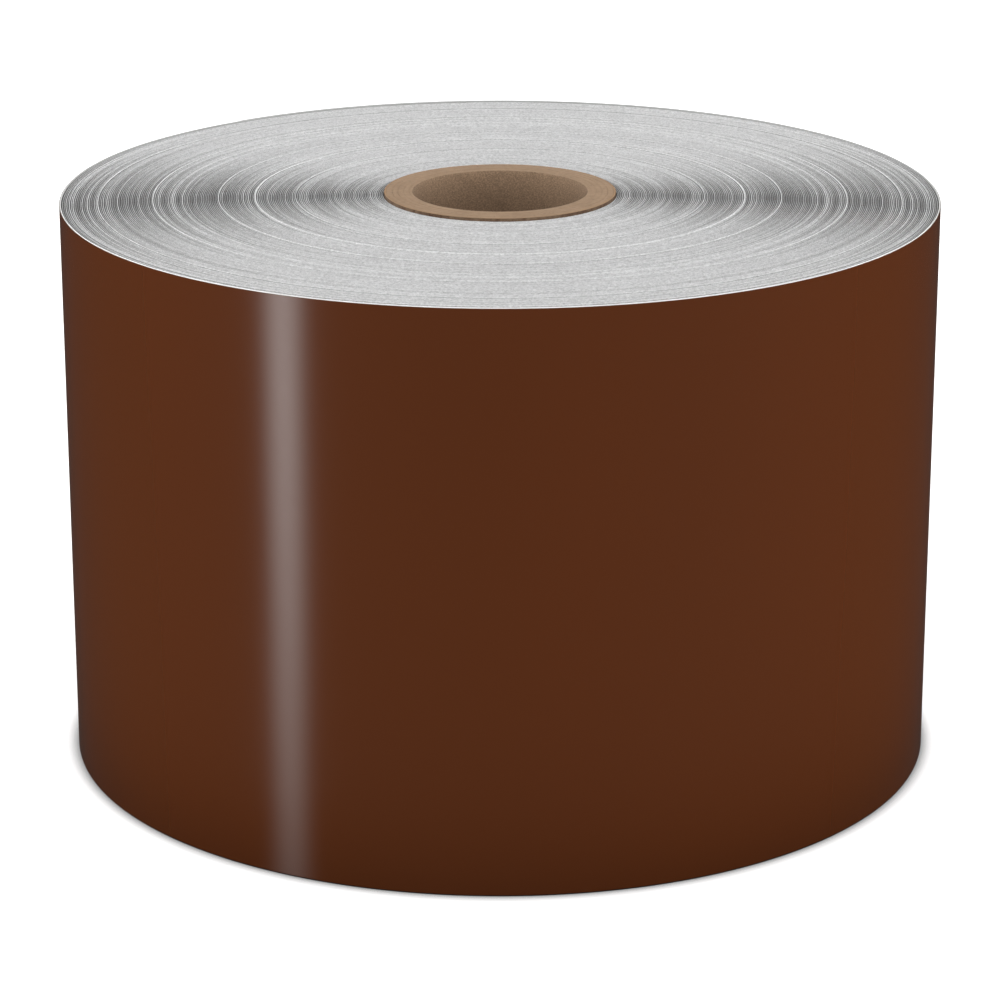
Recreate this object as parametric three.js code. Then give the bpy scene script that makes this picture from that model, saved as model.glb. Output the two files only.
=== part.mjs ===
// Roll of film-faced adhesive tape on a spiral-wound kraft core, standing on one end face.
// Millimetres, +Z up. The origin is on the roll's axis, in the plane the roll stands on.
// The free end of the web is at the rear left, held down by a small closure tab.
import * as THREE from 'three';

// Roll and web
const rollDiameter = 127;          // outside of the last turn
const webWidth = 82.4;             // slit width of the tape
const wrapLift = 0.15;             // how far the last turn's lower edge is off the base plane
const sectionGap = 0.02;           // air between neighbouring wound sections

// The web's three layers, outside to inside, and the air between them
const filmThickness = 0.1;
const adhesiveThickness = 0.03;
const linerThickness = 0.09;
const layerGap = 0.01;
const webPitch = filmThickness + adhesiveThickness + linerThickness + 3 * layerGap;

// Core: plies from the bore outwards
const boreDiameter = 25.4;
const coreLength = 82.6;
const coreLift = 0.35;
const innerPlyThickness = 0.45;
const bodyPlyThickness = 0.8;
const bodyPlyCount = 4;
const outerPlyThickness = 0.35;
const plyGap = 0.02;

// Strip of transfer tape that fastens the first turn to the core
const tackThickness = 0.1;
const tackInset = 1;               // how far it stops short of both ends of the core
const tackStart = 190;             // degrees
const tackEnd = 230;

// Radii, as shares of the roll's radius, where a few turns stand proud of the end face.
// They part the wound web into sections, and each section sits at its own height.
const proudTurns = [0.465, 0.556, 0.64, 0.788, 0.912];
const sectionLifts = [0.1, 0, 0.2, 0.05, 0.22, 0];

// Azimuths in degrees: the last turn starts under the tail, climbs one web pitch, and goes
// once round to the tail's root
const stripStart = 95;
const tailRoot = 110;
const tailEnd = 130;
const climbEnd = 160;
const rootGapAngle = 0.09;         // slit between the tail and the turn it belongs to

// Closure tab, half on the tail and half on the turn below
const tabThickness = 0.06;
const tabStart = 120;
const tabEnd = 140;
const tabHeight = 20;
const tabCentre = 41.4;

const stepAngle = 5;               // degrees between the corners of every round outline
const rollRadius = rollDiameter / 2;
const boreRadius = boreDiameter / 2;

// Outer radius of the last turn at an azimuth counted on past 360 degrees
function turnRadius(angle) {
  const climb = THREE.MathUtils.smoothstep(angle, tailEnd, climbEnd);
  return rollRadius - webPitch * (1 - climb);
}

// Outer radius of the wound web below the last turn
function bedRadius(angle) {
  const underStrip = angle >= stripStart && angle <= climbEnd;
  const covering = underStrip ? turnRadius(angle) : rollRadius;
  return covering - webPitch - sectionGap;
}

function polar(radius, angle) {
  const turn = THREE.MathUtils.degToRad(angle);
  return new THREE.Vector2(radius * Math.cos(turn), radius * Math.sin(turn));
}

function closedOutline(radiusAt) {
  const points = [];
  for (let angle = 0; angle < 360; angle += stepAngle) {
    points.push(polar(radiusAt(angle), angle));
  }
  return points;
}

function raise(shape, lift, height) {
  const geometry = new THREE.ExtrudeGeometry(shape, { depth: height, bevelEnabled: false });
  geometry.translate(0, 0, lift);
  return geometry;
}

// A closed ring between a round hole and an outline
function ring(innerRadius, outerRadiusAt, lift, height) {
  const shape = new THREE.Shape(closedOutline(outerRadiusAt));
  shape.holes.push(new THREE.Path(closedOutline(() => innerRadius)));
  return raise(shape, lift, height);
}

// Azimuths from one end to the other, with a corner at every whole step between them
function arcAngles(from, to) {
  const angles = [from];
  const firstCorner = (Math.floor(from / stepAngle) + 1) * stepAngle;
  for (let angle = firstCorner; angle < to; angle += stepAngle) {
    angles.push(angle);
  }
  angles.push(to);
  return angles;
}

// An open strip bent to a radius that may change along it
function strip(from, to, outerRadiusAt, thickness, lift, height) {
  const angles = arcAngles(from, to);
  const outside = angles.map((angle) => polar(outerRadiusAt(angle), angle));
  const inside = angles.map((angle) => polar(outerRadiusAt(angle) - thickness, angle));
  return raise(new THREE.Shape([...outside, ...inside.reverse()]), lift, height);
}

function finish(color, roughness) {
  return new THREE.MeshStandardMaterial({ color, roughness, metalness: 0 });
}

const kraft = () => finish(0xa0856c, 0.9);
const boreKraft = () => finish(0x7a6753, 0.95);
const woundWeb = () => finish(0xcfcfce, 0.85);
const brownFilm = () => finish(0x522d1c, 0.2);
const clearAdhesive = () => finish(0xb9b2a6, 0.4);
const paperLiner = () => finish(0xe8e8e6, 0.8);
const tabPaper = () => finish(0xe9e4d8, 0.6);
const transferTape = () => finish(0xd8c89a, 0.5);

const group = new THREE.Group();

function addPiece(name, geometry, material) {
  const mesh = new THREE.Mesh(geometry, material);
  mesh.name = name;
  group.add(mesh);
}

// Core: inner ply, body plies, outer ply. Returns its outer radius.
function addCore() {
  const thicknesses = [innerPlyThickness];
  const names = ['core_inner_ply'];
  for (let index = 1; index <= bodyPlyCount; index += 1) {
    thicknesses.push(bodyPlyThickness);
    names.push(`core_body_ply_${index}`);
  }
  thicknesses.push(outerPlyThickness);
  names.push('core_outer_ply');

  let radius = boreRadius;
  names.forEach((name, index) => {
    const outerRadius = radius + thicknesses[index];
    const ply = ring(radius, () => outerRadius, coreLift, coreLength);
    addPiece(name, ply, index === 0 ? boreKraft() : kraft());
    radius = outerRadius + plyGap;
  });
  return radius - plyGap;
}

// The strip between the core and the first turn. Returns the first turn's inner radius.
function addTackStrip(coreRadius) {
  const outerRadius = coreRadius + plyGap + tackThickness;
  const lift = coreLift + tackInset;
  const height = coreLength - 2 * tackInset;
  const tape = strip(tackStart, tackEnd, () => outerRadius, tackThickness, lift, height);
  addPiece('core_tack_strip', tape, transferTape());
  return outerRadius + plyGap;
}

// The wound web, in sections parted where proud turns stand
function addWoundWeb(firstRadius) {
  let innerRadius = firstRadius;
  sectionLifts.forEach((lift, index) => {
    const isLast = index === proudTurns.length;
    const outerRadius = isLast ? rollRadius : proudTurns[index] * rollRadius;
    const outline = isLast ? bedRadius : () => outerRadius;
    addPiece(`wound_web_${index + 1}`, ring(innerRadius, outline, lift, webWidth), woundWeb());
    innerRadius = outerRadius + sectionGap;
  });
}

// One length of web as its three layers
function addLayers(prefix, from, to, radiusAt) {
  const layers = [
    ['face_film', filmThickness, brownFilm()],
    ['adhesive', adhesiveThickness, clearAdhesive()],
    ['release_liner', linerThickness, paperLiner()],
  ];
  let depth = 0;
  for (const [layer, thickness, material] of layers) {
    const surface = depth;
    const shell = strip(from, to, (angle) => radiusAt(angle) - surface, thickness, wrapLift, webWidth);
    addPiece(`${prefix}_${layer}`, shell, material);
    depth += thickness + layerGap;
  }
}

// The tab bridges the step at the tail's end and follows the turn below it
function tabRadius(angle) {
  const below = angle <= tailEnd + rootGapAngle ? rollRadius : turnRadius(angle);
  return below + sectionGap + tabThickness;
}

function addTab() {
  const lift = tabCentre - tabHeight / 2;
  const anchor = strip(tabStart, tailEnd - rootGapAngle, tabRadius, tabThickness, lift, tabHeight);
  addPiece('tab_anchor_half', anchor, tabPaper());
  const pull = strip(tailEnd + rootGapAngle, tabEnd, tabRadius, tabThickness, lift, tabHeight);
  addPiece('tab_pull_half', pull, tabPaper());
}

const coreRadius = addCore();
const firstTurnRadius = addTackStrip(coreRadius);
addWoundWeb(firstTurnRadius);
addLayers('last_turn', stripStart, tailRoot + 360, turnRadius);
addLayers('tail', tailRoot + rootGapAngle, tailEnd, () => rollRadius);
addTab();

export default group;
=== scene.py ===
import math
import bpy
import numpy as np
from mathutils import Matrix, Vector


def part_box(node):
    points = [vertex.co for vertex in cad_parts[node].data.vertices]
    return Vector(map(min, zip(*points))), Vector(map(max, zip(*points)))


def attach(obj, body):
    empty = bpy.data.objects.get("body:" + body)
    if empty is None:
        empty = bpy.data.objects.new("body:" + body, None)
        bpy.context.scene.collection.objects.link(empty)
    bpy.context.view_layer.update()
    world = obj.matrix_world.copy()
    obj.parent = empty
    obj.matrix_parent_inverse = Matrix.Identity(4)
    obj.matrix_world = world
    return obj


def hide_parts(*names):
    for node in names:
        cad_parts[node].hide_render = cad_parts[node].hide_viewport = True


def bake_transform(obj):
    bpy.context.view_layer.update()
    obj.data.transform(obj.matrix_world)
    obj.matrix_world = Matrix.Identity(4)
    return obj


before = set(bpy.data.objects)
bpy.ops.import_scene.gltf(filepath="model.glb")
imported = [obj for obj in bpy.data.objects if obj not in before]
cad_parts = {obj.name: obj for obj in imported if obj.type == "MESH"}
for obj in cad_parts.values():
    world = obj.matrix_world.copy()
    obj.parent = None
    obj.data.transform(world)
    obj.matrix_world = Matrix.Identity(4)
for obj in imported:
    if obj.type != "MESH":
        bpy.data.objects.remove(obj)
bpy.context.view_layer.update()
millimetre = 0.001

# what every piece is measured against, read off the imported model
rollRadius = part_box("last_turn_face_film")[1].x
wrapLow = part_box("last_turn_face_film")[0].z
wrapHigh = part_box("last_turn_face_film")[1].z
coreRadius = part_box("core_outer_ply")[1].x

# the web: its layers, and the azimuths where the last turn begins, climbs and lifts off
web = {
    "pitch": 0.25 * millimetre,
    "film": 0.1 * millimetre,
    "adhesive": 0.03 * millimetre,
    "liner": 0.09 * millimetre,
    "layerGap": 0.01 * millimetre,
    "bedGap": 0.02 * millimetre,
    "stripStart": math.radians(95),
    "tailRoot": math.radians(110),
    "tailEnd": math.radians(130),
    "climbEnd": math.radians(160),
}


class Wire:
    # one output socket; arithmetic on it adds Math nodes to the same material
    def __init__(self, paint, socket):
        self.paint = paint
        self.socket = socket

    def combine(self, operation, first, second):
        return self.paint.add("ShaderNodeMath", {"operation": operation}, {0: first, 1: second})

    def __add__(self, other):
        return self.combine("ADD", self, other)

    def __radd__(self, other):
        return self.combine("ADD", other, self)

    def __sub__(self, other):
        return self.combine("SUBTRACT", self, other)

    def __rsub__(self, other):
        return self.combine("SUBTRACT", other, self)

    def __mul__(self, other):
        return self.combine("MULTIPLY", self, other)

    def __rmul__(self, other):
        return self.combine("MULTIPLY", other, self)


class Paint:
    # the node tree of a material, a world or a lamp, built one node at a time
    def __init__(self, owner):
        self.owner = owner
        owner.use_nodes = True
        self.tree = owner.node_tree
        self.tree.nodes.clear()

    # settings go on first, then the values or wires of its sockets
    def add(self, kind, settings=None, sockets=None, out=0):
        node = self.tree.nodes.new(kind)
        for key, value in (settings or {}).items():
            setattr(node, key, value)
        for key, value in (sockets or {}).items():
            if isinstance(value, Wire):
                self.tree.links.new(value.socket, node.inputs[key])
            else:
                node.inputs[key].default_value = value
        return Wire(self, node.outputs[out]) if node.outputs else None

    def place(self):
        return self.add("ShaderNodeTexCoord", out="Object")

    def noise(self, place, scale, detail=3, roughness=0.55, stretch=(1, 1, 1)):
        spot = self.add("ShaderNodeMapping", {}, {"Vector": place, "Scale": stretch})
        sockets = {"Vector": spot, "Scale": scale, "Detail": detail, "Roughness": roughness}
        return self.add("ShaderNodeTexNoise", {}, sockets)

    # a number carried from one range to another, held at both ends
    def span(self, value, fromLow, fromHigh, toLow=0, toHigh=1):
        sockets = {0: value, 1: fromLow, 2: fromHigh, 3: toLow, 4: toHigh}
        return self.add("ShaderNodeMapRange", {"clamp": True}, sockets)

    def mix(self, factor, first, second):
        return self.add("ShaderNodeMix", {"data_type": "RGBA"}, {0: factor, 6: first, 7: second}, 2)

    def bump(self, height, strength, distance):
        sockets = {"Height": height, "Strength": strength, "Distance": distance}
        return self.add("ShaderNodeBump", {}, sockets)

    def attribute(self, name):
        return self.add("ShaderNodeAttribute", {"attribute_name": name}, {}, "Fac")

    def finish(self, sockets):
        shader = self.add("ShaderNodeBsdfPrincipled", {}, sockets)
        self.add("ShaderNodeOutputMaterial", {}, {"Surface": shader})
        return self.owner


def colour(red, green, blue):
    return (red, green, blue, 1)


def grey(level):
    return colour(level, level, level)


print("camera, light and ground")

# distances in roll radii; the lens and the film it throws its picture on in millimetres
view = {"distance": 8.365, "height": 3.312, "pitch": math.radians(18.19), "lens": 135.3, "filmWidth": 36}


# it stands in front of the roll and above it, and looks down by the pitch
def makeCamera():
    data = bpy.data.cameras.new("camera")
    data.lens = view["lens"]
    data.sensor_width = view["filmWidth"]
    data.clip_start = 0.01
    data.clip_end = 50
    camera = bpy.data.objects.new("camera", data)
    camera.location = (0, -view["distance"] * rollRadius, view["height"] * rollRadius)
    camera.rotation_euler = (math.pi / 2 - view["pitch"], 0, 0)
    bpy.context.scene.collection.objects.link(camera)
    bpy.context.scene.camera = camera
    bpy.context.scene.view_settings.view_transform = "Standard"


# tall strip lamps that only gloss sees. Their azimuth counts from the camera's side towards +X; the ends are
# how far below and above the horizon they reach as seen from the roll, in degrees; "fade" is the share of the
# height over which the lower end dies away
strips = {
    "frontStrip": {"azimuth": -55.4, "power": 10.3},
    "backStrip": {"azimuth": 181, "power": 9},
}
stripShape = {"distance": 1.5, "width": 0.4, "lowEnd": -27, "highEnd": 24, "fade": 0.25}


# an upright lamp that faces the roll's axis, from tan(lowEnd) to tan(highEnd) of its distance. Across its
# width the light swells as sin^2, and from its lower end it grows evenly over the fade
def makeStrip(name, azimuth, power):
    distance = stripShape["distance"]
    low, high = (distance * math.tan(math.radians(stripShape[end])) for end in ("lowEnd", "highEnd"))
    data = bpy.data.lights.new(name, "AREA")
    data.shape = "RECTANGLE"
    data.size, data.size_y = stripShape["width"], high - low
    data.energy = power
    paint = Paint(data)
    spot = paint.add("ShaderNodeNewGeometry", out="Parametric")
    across = paint.add("ShaderNodeSeparateXYZ", {}, {0: spot}, "X")
    up = paint.add("ShaderNodeSeparateXYZ", {}, {0: spot}, "Y")
    swell = paint.add("ShaderNodeMath", {"operation": "SINE"}, {0: across * math.pi})
    strength = swell * swell * paint.span(up, 0, stripShape["fade"])
    glow = paint.add("ShaderNodeEmission", {}, {"Strength": strength})
    paint.add("ShaderNodeOutputLight", {}, {"Surface": glow})
    lamp = bpy.data.objects.new(name, data)
    turn = math.radians(azimuth)
    middle = 0.5 * (wrapHigh + low + high)
    lamp.location = (distance * math.sin(turn), -distance * math.cos(turn), middle)
    lamp.rotation_euler = (math.pi / 2, 0, turn)
    lamp.visible_camera = False
    lamp.visible_diffuse = False
    bpy.context.scene.collection.objects.link(lamp)


# the light tent: white light from every side, which gloss doesn't see. Towards a direction (x, y, z) its
# strength is high + (level - high)(1 - |z|)^2 (1 + side x^2)
tent = {"level": 2.02, "high": 0.66, "side": 2.1}


def makeTent():
    world = bpy.data.worlds.new("tent")
    paint = Paint(world)
    towards = paint.add("ShaderNodeTexCoord")
    x = paint.add("ShaderNodeSeparateXYZ", {}, {0: towards}, "X")
    z = paint.add("ShaderNodeSeparateXYZ", {}, {0: towards}, "Z")
    low = 1 - paint.add("ShaderNodeMath", {"operation": "ABSOLUTE"}, {0: z})
    sides = 1 + tent["side"] * (x * x)
    strength = tent["high"] + (tent["level"] - tent["high"]) * (low * low * sides)
    back = paint.add("ShaderNodeBackground", {}, {"Color": (1, 1, 1, 1), "Strength": strength})
    paint.add("ShaderNodeOutputWorld", {}, {"Surface": back})
    bpy.context.scene.world = world
    world.cycles_visibility.glossy = False


# the floor is flat out to one radius and then sweeps up into a wall, and has a painted contact shadow within
# the contact distance of the roll; the stand is a disc just under it that keeps the tent's light from below
# off the foot of the roll; the surround is a dim ball that only gloss sees. "hole" is the radius at which the
# floor begins
ground = {
    "radius": 3.0,
    "wallHeight": 6.0,
    "white": 0.94,
    "glow": 0.5,
    "contact": 2.0 * millimetre,
    "contactLow": 0.25,
    "standReach": 32 * millimetre,
    "standDepth": 0.2 * millimetre,
    "standWhite": 0.5,
    "surroundRadius": 5.0,
    "surroundGlow": 0.04,
    "spokes": 96,
    "hole": 0.2 * millimetre,
}


# rings of given radii and heights round the z axis, faces upwards
def makeRings(name, radius, height, material):
    turn = np.linspace(0, 2 * math.pi, ground["spokes"], endpoint=False)
    points = around(radius[:, None], turn, height[:, None])
    faces = quads(np.arange(points.size // 3).reshape(points.shape[:2]), True)
    rings = makeMesh(name, points.reshape(-1, 3), faces, False)
    rings.data.materials.append(material)
    return rings


# white with a painted contact shadow: colour and glow darken where something stands within the contact
# distance of it
def studioPaint(name, white, glow, contact=0.0):
    paint = Paint(bpy.data.materials.new(name))
    grain = paint.noise(paint.place(), 30)
    tone = paint.mix(grain, grey(0.96 * white), grey(white))
    shine = grey(1)
    if contact:
        # painted contact shadow: the occlusion darkens both the colour and the glow
        openness = paint.add("ShaderNodeAmbientOcclusion", {"samples": 8}, {"Distance": contact}, "AO")
        shade = paint.span(openness, ground["contactLow"], 1)
        tone = paint.mix(shade, grey(0), tone)
        shine = paint.mix(shade, grey(0), grey(1))
    sockets = {"Base Color": tone, "Roughness": 1.0, "Emission Color": shine, "Emission Strength": glow}
    return paint.finish(sockets)


# the sweep is a quarter of an ellipse: radius (1 + sin t) and height (1 - cos t)
def makeGround():
    flat = np.concatenate([[ground["hole"]], np.geomspace(0.01, ground["radius"], 10)])
    sweep = np.linspace(0, math.pi / 2, 13)[1:]
    radius = np.concatenate([flat, ground["radius"] * (1 + np.sin(sweep))])
    height = np.concatenate([np.zeros_like(flat), ground["wallHeight"] * (1 - np.cos(sweep))])
    white = studioPaint("pale_floor", ground["white"], ground["glow"], ground["contact"])
    floor = makeRings("studio_floor", radius, height, white)
    floor.visible_glossy = floor.visible_diffuse = floor.visible_shadow = False
    reach = np.array([0.0002, 0.5, 1]) * (rollRadius + ground["standReach"])  # pinhole, half way and rim
    level = np.full_like(reach, -ground["standDepth"])
    stand = makeRings("studio_stand", reach, level, studioPaint("stand", ground["standWhite"], 0.0))
    stand.visible_glossy = stand.visible_camera = False
    tilt = np.linspace(0.002, math.pi - 0.002, 25)
    wide, tall = ground["surroundRadius"] * np.sin(tilt), -ground["surroundRadius"] * np.cos(tilt)
    dim = studioPaint("surround", 0.0, ground["surroundGlow"])
    surround = makeRings("studio_surround", wide, tall, dim)
    surround.visible_camera = surround.visible_diffuse = surround.visible_shadow = False


# the four corners of every cell of a grid of vertex numbers; a closed grid joins its last and first columns
def quads(grid, closed):
    if closed:
        grid = np.concatenate([grid, grid[:, :1]], axis=1)
    corners = [grid[:-1, :-1], grid[1:, :-1], grid[1:, 1:], grid[:-1, 1:]]
    return np.stack(corners, axis=-1).reshape(-1, 4)


# six times the volume is the sum over triangles of a . (b x c), and a shell is inside out if it is negative
def facesOutwards(points, faces):
    a, b, c, d = (points[faces[:, k]] for k in range(4))
    first = np.einsum("ij,ij->", a, np.cross(b, c))
    second = np.einsum("ij,ij->", a, np.cross(c, d))
    return faces if first + second > 0 else faces[:, ::-1]


# a mesh from points and four-cornered faces, with a value per point under each name in values and a material
# slot per face, smooth but for edges that turn by more than the sharp angle
def makeMesh(name, points, faces, closed=True, values=None, slots=None, sharpAngle=35):
    if closed:
        faces = facesOutwards(points, faces)
    mesh = bpy.data.meshes.new(name)
    mesh.vertices.add(len(points))
    mesh.vertices.foreach_set("co", np.ascontiguousarray(points, np.float32).ravel())
    mesh.loops.add(faces.size)
    mesh.loops.foreach_set("vertex_index", np.ascontiguousarray(faces, np.int32).ravel())
    mesh.polygons.add(len(faces))
    mesh.polygons.foreach_set("loop_start", np.arange(0, faces.size, 4, dtype=np.int32))
    if slots is not None:
        mesh.polygons.foreach_set("material_index", slots.astype(np.int32))
    for key, value in (values or {}).items():
        held = mesh.attributes.new(key, "FLOAT", "POINT")
        held.data.foreach_set("value", value.astype(np.float32).ravel())
    mesh.update(calc_edges=True)
    mesh.validate()
    mesh.shade_smooth()
    mesh.set_sharp_from_angle(angle=math.radians(sharpAngle))
    thing = bpy.data.objects.new(name, mesh)
    bpy.context.scene.collection.objects.link(thing)
    return thing


# eases from 0 to 1 as the value passes from low to high: 3t^2 - 2t^3
def ease(value, low, high):
    t = np.clip((value - low) / (high - low), 0, 1)
    return t * t * (3 - 2 * t)


# a smooth wandering line: the sum of sin(k rate place + phase) / k over a few k, divided by 1.6 to keep it
# near 1; every k has its own seeded rate and phase
def wander(place, seed, waves, turns=1.0):
    chance = np.random.default_rng(seed)
    total = np.zeros_like(place)
    for index in range(waves):
        rate = turns * (index + 1) * chance.uniform(0.8, 1.25)
        total += np.sin(rate * place + chance.uniform(0, 2 * math.pi)) / (index + 1)
    return total / 1.6


# points on circles: radius and height are arrays that share the azimuth's shape
def around(radius, azimuth, height):
    full = np.broadcast_arrays(radius * np.cos(azimuth), radius * np.sin(azimuth), height)
    return np.stack(full, axis=-1)


# a closed shell between an outer and an inner sheet with the same rows and columns: both sheets, the rims
# that join their first and last rows, and, where it doesn't close on itself, the two ends. It takes one
# material, or three for its outside, its inside and the rest
def shell(name, outer, inner, closed, materials, values=None):
    rows, columns = outer.shape[:2]
    count = rows * columns
    outside = np.arange(count).reshape(rows, columns)
    inside = outside + count
    faces = [quads(outside, closed), quads(inside, closed)[:, ::-1]]
    faces.append(quads(np.stack([inside[0], outside[0]]), closed))
    faces.append(quads(np.stack([outside[-1], inside[-1]]), closed))
    if not closed:
        faces.append(quads(np.stack([outside[:, 0], inside[:, 0]]), False))
        faces.append(quads(np.stack([inside[:, -1], outside[:, -1]]), False))
    points = np.concatenate([outer.reshape(-1, 3), inner.reshape(-1, 3)])
    slots = np.repeat(np.minimum(np.arange(len(faces)), len(materials) - 1), [len(part) for part in faces])
    piece = makeMesh(name, points, np.concatenate(faces), True, values, slots, sharpAngle=50)
    for material in materials:
        piece.data.materials.append(material)
    return piece


print("materials")

filmLook = {
    "brown": colour(0.0595, 0.0153, 0.0036),
    "warmer": colour(0.063, 0.0155, 0.0032),
    "darker": colour(0.058, 0.015, 0.0037),
    "roughness": 0.12,
}


# glossy film: its brown and its gloss drift slowly along the web and vary a little more finely
def brownFilm():
    paint = Paint(bpy.data.materials.new("brown_film"))
    place = paint.place()
    broad = paint.noise(place, 22, 2, 0.5, (1, 1, 0.35))
    fine = paint.noise(place, 900, 3)
    tone = paint.mix(paint.span(broad, 0.3, 0.7), filmLook["darker"], filmLook["warmer"])
    tone = paint.mix(paint.span(fine, 0.25, 0.75, 0, 0.25), tone, filmLook["brown"])
    rough = filmLook["roughness"] + 0.05 * broad + 0.03 * fine
    skin = paint.bump(fine * 0.4 + broad * 0.6, 0.05, 0.04 * millimetre)
    return paint.finish({"Base Color": tone, "Roughness": rough, "Normal": skin, "IOR": 1.5})


edgeLook = {
    "paper": colour(0.95, 0.95, 0.953),
    "shade": colour(0.59, 0.59, 0.592),
    "film": colour(0.12, 0.085, 0.07),
    "grey": colour(0.16, 0.158, 0.155),
}


# the slit edges of the wound web: "ridge" runs from 0 on the film's edge to 1 on the paper's
def webEdges():
    paint = Paint(bpy.data.materials.new("web_edges"))
    place = paint.place()
    ridge = paint.attribute("ridge")
    fibre = paint.noise(place, 2600, 4, 0.7)
    blotch = paint.noise(place, 160, 3)
    speck = paint.span(paint.noise(place, 1400, 2), 0.62, 0.7)
    paper = paint.mix(paint.span(fibre, 0.36, 0.64), edgeLook["shade"], edgeLook["paper"])
    paper = paint.mix(paint.span(blotch, 0.4, 0.7, 0, 0.12), paper, edgeLook["shade"])
    deep = paint.mix(speck, edgeLook["grey"], edgeLook["film"])
    tone = paint.mix(paint.span(ridge, 0.05, 0.6), deep, paper)
    fuzz = paint.bump(fibre * ridge, 0.5, 0.06 * millimetre)
    return paint.finish({"Base Color": tone, "Roughness": 0.85, "Normal": fuzz})


boardLook = {
    "light": colour(0.385, 0.255, 0.156),
    "dark": colour(0.31, 0.2, 0.118),
    # painted bounce light: a more orange kraft for the outer ply's ends, along the core's outer edge
    "bounceOrange": colour(0.4, 0.235, 0.12),
    # painted shade: a dark brown for the outer ply's outside wall, where it stands proud of the web
    "shadedWall": colour(0.07, 0.032, 0.014),
    "bore": colour(0.36, 0.24, 0.15),
    "boreDark": colour(0.19, 0.125, 0.078),
    "seam": colour(0.08, 0.05, 0.032),
}


# cut board: short fibres lie across a paler and a darker brown, with a few dark specks
def kraftBoard(name, light, dark):
    paint = Paint(bpy.data.materials.new(name))
    place = paint.place()
    fibre = paint.noise(place, 1500, 4, 0.65)
    cloud = paint.noise(place, 260, 3)
    speck = paint.span(paint.noise(place, 1900, 1), 0.66, 0.72, 0, 0.5)
    tone = paint.mix(paint.span(fibre * 0.6 + cloud * 0.4, 0.36, 0.62), dark, light)
    tone = paint.mix(speck, tone, boardLook["boreDark"])
    fuzz = paint.bump(fibre, 0.5, 0.08 * millimetre)
    return paint.finish({"Base Color": tone, "Roughness": 0.92, "Normal": fuzz})


# the bore's wall: finely mottled, with a few creases darkened by painted shade and a faint butt seam
def boreBoard():
    paint = Paint(bpy.data.materials.new("bore_board"))
    place = paint.place()
    mottle = paint.noise(place, 4200, 4, 0.75, (1, 1, 1.25))
    cloud = paint.noise(place, 110, 3)
    fold = paint.noise(place, 95, 4, 0.6, (1, 1, 0.4))
    line = paint.add("ShaderNodeMath", {"operation": "ABSOLUTE"}, {0: fold - 0.5})
    crease = paint.span(line, 0.0, 0.012, 1, 0) * paint.span(cloud, 0.5, 0.6)
    seam = paint.attribute("seam")
    tone = paint.span(mottle * 0.85 + cloud * 0.15, 0.36, 0.64)
    tone = paint.mix(paint.span(tone, 0.12, 0.88), boardLook["boreDark"], boardLook["bore"])
    # painted shade: the creases' colour is drawn towards the dark seam brown
    tone = paint.mix(crease * 0.45, tone, boardLook["seam"])
    tone = paint.mix(seam * 0.18, tone, boardLook["seam"])
    relief = paint.bump(mottle * 0.5 - crease, 0.6, 0.12 * millimetre)
    return paint.finish({"Base Color": tone, "Roughness": 0.93, "Normal": relief})


# white coated paper: faint long fibres and a satin that varies a little
def linerPaper(name, dull, bright):
    paint = Paint(bpy.data.materials.new(name))
    place = paint.place()
    fibre = paint.noise(place, 700, 4, 0.6, (1, 1, 0.3))
    tone = paint.mix(fibre, colour(dull, dull, 0.99 * dull), colour(bright, bright, 0.99 * bright))
    rough = 0.5 + 0.12 * fibre
    relief = paint.bump(fibre, 0.15, 0.03 * millimetre)
    return paint.finish({"Base Color": tone, "Roughness": rough, "Normal": relief})


# clear-grey adhesive: slightly tacky gloss, cloudy
def clearAdhesive():
    paint = Paint(bpy.data.materials.new("adhesive"))
    cloud = paint.noise(paint.place(), 500, 3)
    tone = paint.mix(cloud, colour(0.5, 0.48, 0.45), colour(0.6, 0.57, 0.53))
    return paint.finish({"Base Color": tone, "Roughness": 0.3 + 0.15 * cloud})


# the darker colour is painted shade in the tab's rib valleys
tabLook = {"valleyShade": colour(0.43, 0.385, 0.3), "rib": colour(0.54, 0.495, 0.405)}


# off-white crepe paper: fine ribs along the tab, with painted shade darkening their valleys
def tabPaper():
    paint = Paint(bpy.data.materials.new("tab_paper"))
    place = paint.place()
    ribs = paint.noise(place, 520, 3, 0.5, (0.35, 0.35, 2.6))
    fibre = paint.noise(place, 1500, 3)
    tone = paint.mix(ribs * 0.6 + fibre * 0.4, tabLook["valleyShade"], tabLook["rib"])
    relief = paint.bump(ribs, 0.5, 0.08 * millimetre)
    return paint.finish({"Base Color": tone, "Roughness": 0.7 + 0.1 * fibre, "Normal": relief})


# the honey-coloured transfer tape that holds the web's start on the core
def transferTape():
    paint = Paint(bpy.data.materials.new("transfer_tape"))
    cloud = paint.noise(paint.place(), 300, 3)
    tone = paint.mix(cloud, colour(0.6, 0.5, 0.27), colour(0.7, 0.6, 0.36))
    return paint.finish({"Base Color": tone, "Roughness": 0.45 + 0.15 * cloud})


looks = {
    "film": brownFilm(),
    "edges": webEdges(),
    "board": kraftBoard("kraft_board", boardLook["light"], boardLook["dark"]),
    # the outer ply's ends take a more orange kraft, painted bounce light along the core's outer edge
    "bounceBoard": kraftBoard("outer_ply_painted_bounce", boardLook["bounceOrange"], boardLook["dark"]),
    "shadedWallBoard": kraftBoard("painted_shade_board", boardLook["shadedWall"], boardLook["boreDark"]),
    "bore": boreBoard(),
    "liner": linerPaper("liner_paper", 0.44, 0.52),
    "linerEdge": linerPaper("liner_edge", 0.87, 0.96),
    "adhesive": clearAdhesive(),
    "tab": tabPaper(),
    "transfer": transferTape(),
}

makeCamera()
for stripName, values in strips.items():
    makeStrip(stripName, **values)
makeTent()
makeGround()

print("core")

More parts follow.
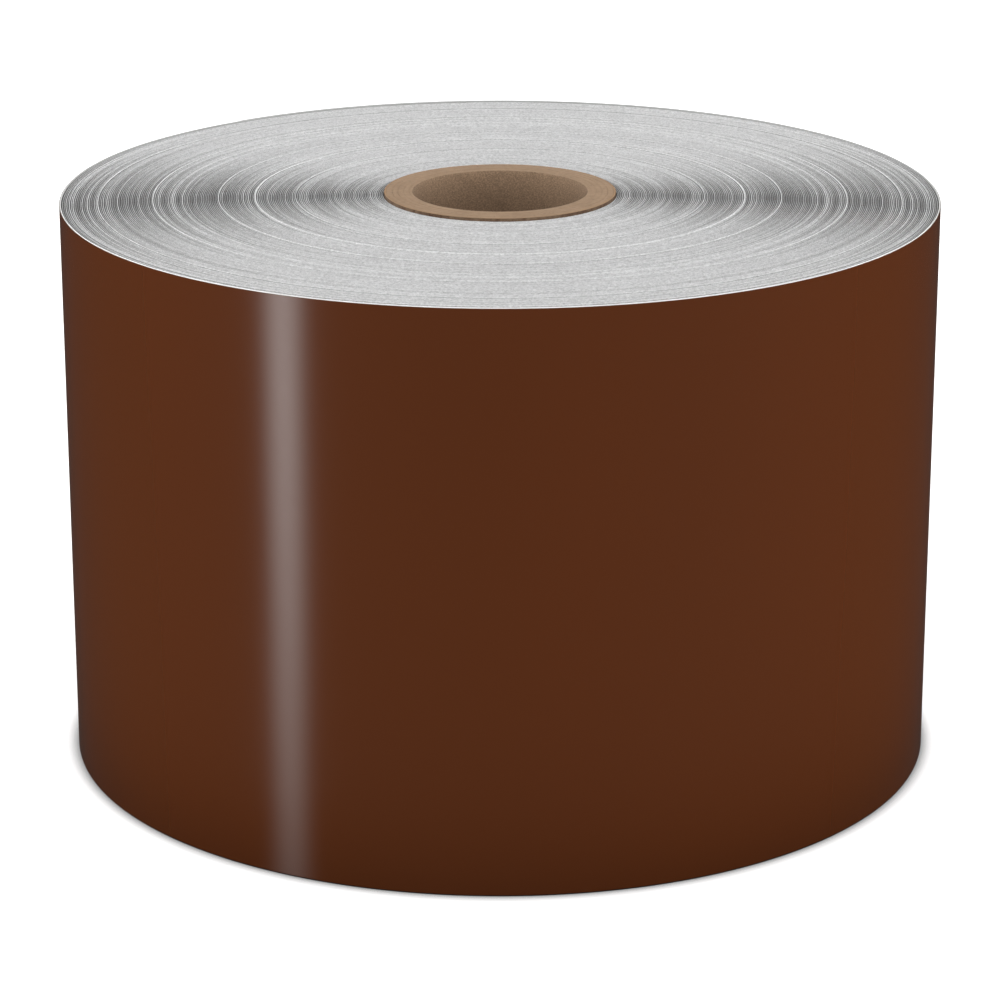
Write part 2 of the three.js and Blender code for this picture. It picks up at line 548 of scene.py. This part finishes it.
# "seamSlant" is how much of a distance up the bore lies square across the seam
core = {
    "boreRadius": 12.7 * millimetre,
    "plyGap": 0.02 * millimetre,
    "edgeRound": 0.015 * millimetre,
    "columns": 240,
    "boreRows": 120,
    "plyRows": 3,
    "endUnevenness": 0.015 * millimetre,
    "seamPitch": 62 * millimetre,
    "seamSlant": 0.75,
    "seamWidth": 0.35 * millimetre,
    "seamDepth": 0.05 * millimetre,
    "boreWave": 0.025 * millimetre,
}


# heights of a ply's rows: close together at both ends, where the edge is rounded, and even between
def plyRows(low, high, middleRows):
    ends = np.array([0, 0.35, 1]) * core["edgeRound"]
    middle = np.linspace(low + ends[-1], high - ends[-1], middleRows)
    return np.concatenate([low + ends[:-1], middle, high - ends[:-1][::-1]])


# how far a rounded edge has drawn in at a height: r - sqrt(r^2 - (r - d)^2), d being how far the end is away
def edgeInset(height, low, high):
    reach = core["edgeRound"]
    gap = reach - np.clip(np.minimum(height - low, high - height), 0, reach)
    return reach - np.sqrt(np.maximum(reach * reach - gap * gap, 0))


# a tube between two radii: rows are heights, columns azimuths. Its upper end wanders a little in height, and
# the eighth power of the height's share keeps that to the end. The bore's ply also has a helical butt seam, a
# bell across the line height = pitch times turn, and a slow wave in its wall that stops short of the end
def makePly(name, innerRadius, outerRadius, low, high, seed, isBore, materials):
    turn = np.linspace(0, 2 * math.pi, core["columns"], endpoint=False)
    height = plyRows(low, high, core["boreRows" if isBore else "plyRows"])
    inset = edgeInset(height, low, high) * min(1, (outerRadius - innerRadius) / (4 * core["edgeRound"]))
    share = (height - low) / (high - low)
    drift = core["endUnevenness"] * (wander(turn, seed, 5) - 1) * share[:, None] ** 8
    level = height[:, None] + drift
    outer = around((outerRadius - inset)[:, None], turn, level)
    inside = (innerRadius + inset)[:, None] + np.zeros_like(turn)
    seam = np.zeros_like(inside)
    if isBore:
        phase = (height[:, None] / core["seamPitch"] - turn / (2 * math.pi)) % 1
        away = np.minimum(phase, 1 - phase) * core["seamPitch"] * core["seamSlant"]
        seam = np.exp(-((away / core["seamWidth"]) ** 2))
        wave = np.sin(3 * turn + 40 * height[:, None]) + 0.6 * np.sin(5 * turn - 70 * height[:, None])
        inside = inside + core["seamDepth"] * seam + core["boreWave"] * wave * (share[:, None] < 0.99)
    inner = around(inside, turn, level)
    values = {"seam": np.concatenate([np.zeros(seam.size), seam.ravel()])}
    return shell(name, outer, inner, True, materials, values)


plyNames = ["core_inner_ply"]
plyNames += [f"core_body_ply_{number}" for number in range(1, 5)]
plyNames.append("core_outer_ply")


# ply by ply from the bore outwards, each starting a gap outside the one before
def makeCore():
    innerRadius = core["boreRadius"]
    for index, node in enumerate(plyNames):
        low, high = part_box(node)
        isBore = index == 0
        isOuter = index == len(plyNames) - 1
        inside = looks["bore" if isBore else "board"]
        materials = [looks["board"], inside, looks["board"]]
        if isOuter:
            # the outer ply's outside wall takes painted shade, dark where it stands proud of the web
            materials = [looks["shadedWallBoard"], inside, looks["bounceBoard"]]
        name = node.replace("core", "kraft")
        ply = makePly(name, innerRadius, high.x, low.z, high.z, index + 3, isBore, materials)
        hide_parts(node)
        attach(ply, "roll")
        innerRadius = high.x + core["plyGap"]


makeCore()
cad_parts["core_tack_strip"].data.materials.clear()
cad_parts["core_tack_strip"].data.materials.append(looks["transfer"])

print("wound web")

# one turn's section, from its inside to its outside: the paper liner's edge stands up as a ridge, and the
# film's edge beside it lies lower. A ridge starts, and later ends, a "slope" away from the dark floor. Slopes
# and widths are shares of the pitch; "line" values are for the turns that show as lines, one in every few
winding = {
    "columns": 240,
    "seed": 11,
    "slope": 0.05,
    "ridgeShare": 0.075,
    "leastRidge": 0.07,
    "mostRidge": 0.8,
    "ridgeSlow": 0.02,
    "ridgeQuick": 0.03,
    "ridgeFine": 0.035,
    "lineLeast": 3,
    "lineMost": 5,
    "lineFaint": 0.45,
    "lineShare": 0.29,
    "lineSpread": 0.45,
    "brightChance": 0.06,
    "brightShare": 0.12,
    "darkShare": -0.09,
    "groove": 0.11 * millimetre,
    "grooveLikeness": 12,
    "darkGroove": 0.03 * millimetre,
    "unevenness": 0.013 * millimetre,
    "alongUnevenness": 0.006 * millimetre,
    "proudStep": 0.1 * millimetre,
    "proudShare": 0.28,
    "proudFill": 0.6,
    "proudReach": 0.0025,
}
windingStart = coreRadius + 0.14 * millimetre  # the tack strip lies under it

# shares of the roll's radius: the middles and widths of darker bands, and where turns stand proud
darkBands = [(0.4, 0.03), (0.505, 0.03), (0.63, 0.06), (0.69, 0.035), (0.85, 0.04), (0.95, 0.015)]
proudTurns = [0.465, 0.556, 0.64, 0.788, 0.912, 0.975]


# the share of a pitch that a turn has climbed at an azimuth counted from the strip's start
def climbed(turn):
    return ease(turn, web["tailEnd"] - web["stripStart"], web["climbEnd"] - web["stripStart"])


# bell-shaped rises round given shares of the roll's radius, each as wide as it says
def bells(share, marks):
    return np.clip(sum(np.exp(-(((share - centre) / width) ** 2)) for centre, width in marks), 0, 1)


# a random number for each turn, smoothed over its neighbours: sum of kernel times noise, unit spread
def turnNoise(chance, count, reach):
    kernel = np.hanning(2 * reach + 3)[1:-1]
    return np.convolve(chance.normal(0, 1, count + 2 * reach), kernel / np.linalg.norm(kernel), "valid")


# how strongly each turn shows as a line: one turn in every few, at its own strength, with part of that
# strength on the turns beside it
def turnLines(chance, count):
    places = np.cumsum(chance.integers(winding["lineLeast"], winding["lineMost"] + 1, count))
    lines = np.zeros(count)
    places = places[places < count]
    lines[places] = winding["lineFaint"] + (1 - winding["lineFaint"]) * chance.random(len(places))
    return np.convolve(lines, [winding["lineSpread"], 1, winding["lineSpread"]], "same")


# each turn's ridge width as a share of the pitch, its ridge's rise and its groove's depth, for turns whose
# inner radii are given
def turnTables(turnRadii):
    chance = np.random.default_rng(winding["seed"])
    count = len(turnRadii)
    share = turnRadii / rollRadius
    dark = bells(share, darkBands)
    proud = bells(share, [(centre, winding["proudReach"]) for centre in proudTurns])
    width = winding["ridgeShare"] + winding["ridgeSlow"] * turnNoise(chance, count, 5)
    width = width + winding["lineShare"] * turnLines(chance, count)
    width = width + winding["ridgeQuick"] * turnNoise(chance, count, 2)
    width = width + winding["ridgeFine"] * chance.normal(0, 1, count)
    width = width + winding["brightShare"] * (chance.random(count) < winding["brightChance"])
    width = width + winding["darkShare"] * dark + winding["proudShare"] * proud
    rise = winding["unevenness"] * np.abs(turnNoise(chance, count, 1)) + winding["proudStep"] * proud
    likeness = winding["grooveLikeness"]
    depth = winding["groove"] * chance.gamma(likeness, 1 / likeness, count) + winding["darkGroove"] * dark
    width = np.clip(width, winding["leastRidge"], winding["mostRidge"])
    return width, rise, depth * (1 - winding["proudFill"] * proud)


# one end of a section as a grid, rows across the turns and columns round them. A corner's radius is the
# section's inner radius plus pitch times (turn number + share climbed + its place in the turn), never less
# than the core allows; its height is the turn's own rise on the ridge and its depth on the floor
def endSheet(innerRadius, turns, pitch, level, tables, seed, direction):
    lap = np.linspace(0, 2 * math.pi, winding["columns"] + 1)
    number = np.append(np.repeat(np.arange(turns), 4), turns)
    corner = np.append(np.tile(np.arange(4), turns), 0)[:, None]
    isRidge = (corner == 1) | (corner == 2)
    along = number[:, None] + climbed(lap)
    width, rise, depth = (np.interp(along, np.arange(len(table)), table) for table in tables)
    slope = winding["slope"]
    place = np.select([corner == 1, corner == 2, corner == 3], [slope, slope + width, 2 * slope + width], 0)
    radius = innerRadius + pitch * (along + place)
    radius = np.maximum(radius, windingStart + 0.01 * web["pitch"] * place)
    unrolled = 2 * math.pi * number[:, None] + lap
    ripple = wander(unrolled, seed + 1, 6, 5.3) + wander(unrolled, seed + 2, 5, 31.7)
    rise = rise + winding["alongUnevenness"] * ripple
    ends = level(radius)
    height = ends + (np.where(isRidge, rise, -depth) if direction > 0 else np.where(isRidge, 0, depth))
    ridge = np.broadcast_to(isRidge, height.shape).astype(float)
    return around(radius, lap + web["stripStart"], height), ridge


# numbers for a sheet's corners: after a whole turn each corner is the one four rows on, because the strip
# has become the next turn; only the last turn's end has corners of its own
def spiralNumbers(rows, columns, first):
    grid = np.zeros((rows, columns + 1), int)
    grid[:, :-1] = first + np.arange(rows * columns).reshape(rows, columns)
    grid[:-4, -1] = grid[4:, 0]
    grid[-4:, -1] = first + rows * columns + np.arange(4)
    return grid


# the corners in number order: the whole sheet without its closing column, then the last turn's own end
def spiralPoints(sheet):
    return np.concatenate([sheet[:, :-1].reshape(-1, *sheet.shape[2:]), sheet[-4:, -1]])


# a section: an upper and a lower end, walls inside and outside them, and the cut across the web at both ends
def makeSection(name, innerRadius, turns, pitch, tables, levels, seed):
    columns = winding["columns"]
    top, ridgeTop = endSheet(innerRadius, turns, pitch, levels[1], tables, seed, 1)
    base, ridgeBase = endSheet(innerRadius, turns, pitch, levels[0], tables, seed, -1)
    rows = top.shape[0]
    upper = spiralNumbers(rows, columns, 0)
    lower = spiralNumbers(rows, columns, rows * columns + 4)
    faces = [quads(upper, False), quads(lower, False)[:, ::-1]]
    faces.append(quads(np.stack([upper[:5, 0], lower[:5, 0]]), False))
    faces.append(quads(np.stack([lower[-5:, -1], upper[-5:, -1]]), False))
    sides = [quads(np.stack([lower[0], upper[0]]), False), quads(np.stack([upper[-1], lower[-1]]), False)]
    slots = np.concatenate([np.zeros(sum(map(len, faces))), np.ones(sum(map(len, sides)))])
    points = np.concatenate([spiralPoints(top), spiralPoints(base)])
    ridge = np.concatenate([spiralPoints(ridgeTop), spiralPoints(ridgeBase)])
    values = {"ridge": ridge}
    section = makeMesh(name, points, np.concatenate(faces + sides), True, values, slots, sharpAngle=40)
    section.data.materials.append(looks["edges"])
    section.data.materials.append(looks["film"])
    return section


# section by section from the core outwards; every turn has one width, rise and depth, and the ends' levels
# pass smoothly between those of the sections' middles
def makeWinding():
    nodes = [f"wound_web_{number}" for number in range(1, 7)]
    boxes = [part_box(node) for node in nodes]
    edges = [windingStart - web["pitch"]] + [box[1].x for box in boxes[:-1]]
    edges.append(rollRadius - 2 * web["pitch"] - web["bedGap"])
    counts = [int(round((outer - inner) / web["pitch"])) for inner, outer in zip(edges, edges[1:])]
    radii = [np.linspace(*edges[k : k + 2], counts[k], endpoint=False) for k in range(len(nodes))]
    radii.append(edges[-1] + web["pitch"] * np.arange(3))
    tables = turnTables(np.concatenate(radii))
    middles = 0.5 * (np.array(edges[:-1]) + np.array(edges[1:]))
    heights = np.array([[box[0].z, box[1].z] for box in boxes])
    levels = [lambda radius, k=k: np.interp(radius, middles, heights[:, k]) for k in (0, 1)]
    first = 0
    for k, node in enumerate(nodes):
        pitch = (edges[k + 1] - edges[k]) / counts[k]
        part = [table[first : first + counts[k] + 3] for table in tables]
        seed = winding["seed"] + 3 * k
        section = makeSection(f"winding_{k + 1}", edges[k], counts[k], pitch, part, levels, seed)
        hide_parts(node)
        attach(section, "roll")
        first += counts[k]


makeWinding()

print("last turn and tail")

# the strip is parted into wrap and tail at the "parting", ahead of the hinge
lastTurn = {
    "columnsPerDegree": 1.4,
    "tailColumnsPerDegree": 3,
    "rows": 26,
    "edgeRound": 0.02 * millimetre,
    "ripple": 0.004 * millimetre,
    "linerProud": 0.09 * millimetre,
    "parting": math.radians(90),
    "bendEnd": math.radians(119.5),
}


# outer radius of the last turn at an azimuth that counts on past a full circle
def turnRadius(azimuth):
    return rollRadius - web["pitch"] * (1 - ease(azimuth, web["tailEnd"], web["climbEnd"]))


# a strip of one layer: rows are heights and columns azimuths, its outer face a given depth below the turn's
# surface, with a ripple of a few microns that no real film is free of. Its edges are cut off at 45 degrees
def makeLayer(name, start, end, perDegree, depth, thickness, proud, slot, materials):
    count = int(round(math.degrees(end - start) * perDegree)) + 1
    turn = np.linspace(start, end, count)
    edge = min(lastTurn["edgeRound"], 0.4 * thickness)
    rim = edge * np.array([0, 1, 2, 6])
    low, high = wrapLow, wrapHigh + proud
    middle = np.linspace(low + 20 * edge, high - 20 * edge, lastTurn["rows"])
    height = np.concatenate([low + rim, middle, high - rim[::-1]])
    inset = np.zeros(len(height))
    inset[[0, -1]] = edge
    level = np.broadcast_to(height[:, None], (len(height), count))
    ripple = lastTurn["ripple"] * wander(7 * turn + 60 * height[:, None], 5, 4)
    surface = turnRadius(turn) - depth + ripple - lastTurn["ripple"]
    outer = around(surface - inset[:, None], turn, level)
    inner = around(surface - thickness + inset[:, None], turn, level)
    layer = shell(name, outer, inner, False, materials)
    return layer


# each layer's ending, its outer face's depth, thickness, rise over the film's edge, slot and materials
filmBed = web["film"] + web["layerGap"]
linerBed = filmBed + web["adhesive"] + web["layerGap"]
linerLooks = [looks["linerEdge"], looks["liner"], looks["linerEdge"]]
layers = [
    ("face_film", 0.0, web["film"], 0.0, "brown_film", [looks["film"]]),
    ("adhesive", filmBed, web["adhesive"], 0.0, "adhesive", [looks["adhesive"]]),
    ("release_liner", linerBed, web["liner"], lastTurn["linerProud"], "liner_paper", linerLooks),
]


# layer by layer: the turn rides on the roll, and its free end is a separate tail strip
def makeLastTurn():
    parting = lastTurn["parting"] + 2 * math.pi
    end = web["tailEnd"] + 2 * math.pi
    coarse, fine = lastTurn["columnsPerDegree"], lastTurn["tailColumnsPerDegree"]
    for ending, *layer in layers:
        wrap = makeLayer(f"wrap_{ending}", web["stripStart"], parting, coarse, *layer)
        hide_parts(f"last_turn_{ending}")
        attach(wrap, "roll")
        tail = makeLayer(f"tail_{ending}_strip", parting, end, fine, *layer)
        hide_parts(f"tail_{ending}")
        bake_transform(tail)


makeLastTurn()

print("closure tab")

tab = {
    "start": math.radians(120),
    "end": math.radians(140),
    "bendEnd": math.radians(134),
    "thickness": 0.06 * millimetre,
    "lift": 0.02 * millimetre,
    "raggedness": 0.06 * millimetre,
    "ribHeight": 0.012 * millimetre,
    "ribPitch": 0.9 * millimetre,
}


# a rectangle of crepe paper: it lies on the tail, bridges the step at its end and follows the turn below. Its
# last column is torn, so its azimuth wanders, and its face is ribbed as sin(2 pi height / rib pitch)
def makeTab():
    low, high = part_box("tab_anchor_half")
    turn = np.linspace(tab["start"], tab["end"], 81)
    height = np.linspace(low.z, high.z, 41)[:, None]
    bridge = ease(turn, web["tailEnd"], tab["bendEnd"])
    under = rollRadius + (turnRadius(turn) - rollRadius) * bridge + tab["lift"]
    turn = np.tile(turn, (len(height), 1))
    turn[:, -1:] += tab["raggedness"] * wander(900 * height, 9, 5) / rollRadius
    ribs = tab["ribHeight"] * np.sin(2 * math.pi * height / tab["ribPitch"])
    outer = around(under + tab["thickness"] + ribs, turn, height)
    inner = around(under, turn, height)
    paper = shell("closure_tab", outer, inner, False, [looks["tab"]])
    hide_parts("tab_anchor_half", "tab_pull_half")
    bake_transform(paper)


makeTab()
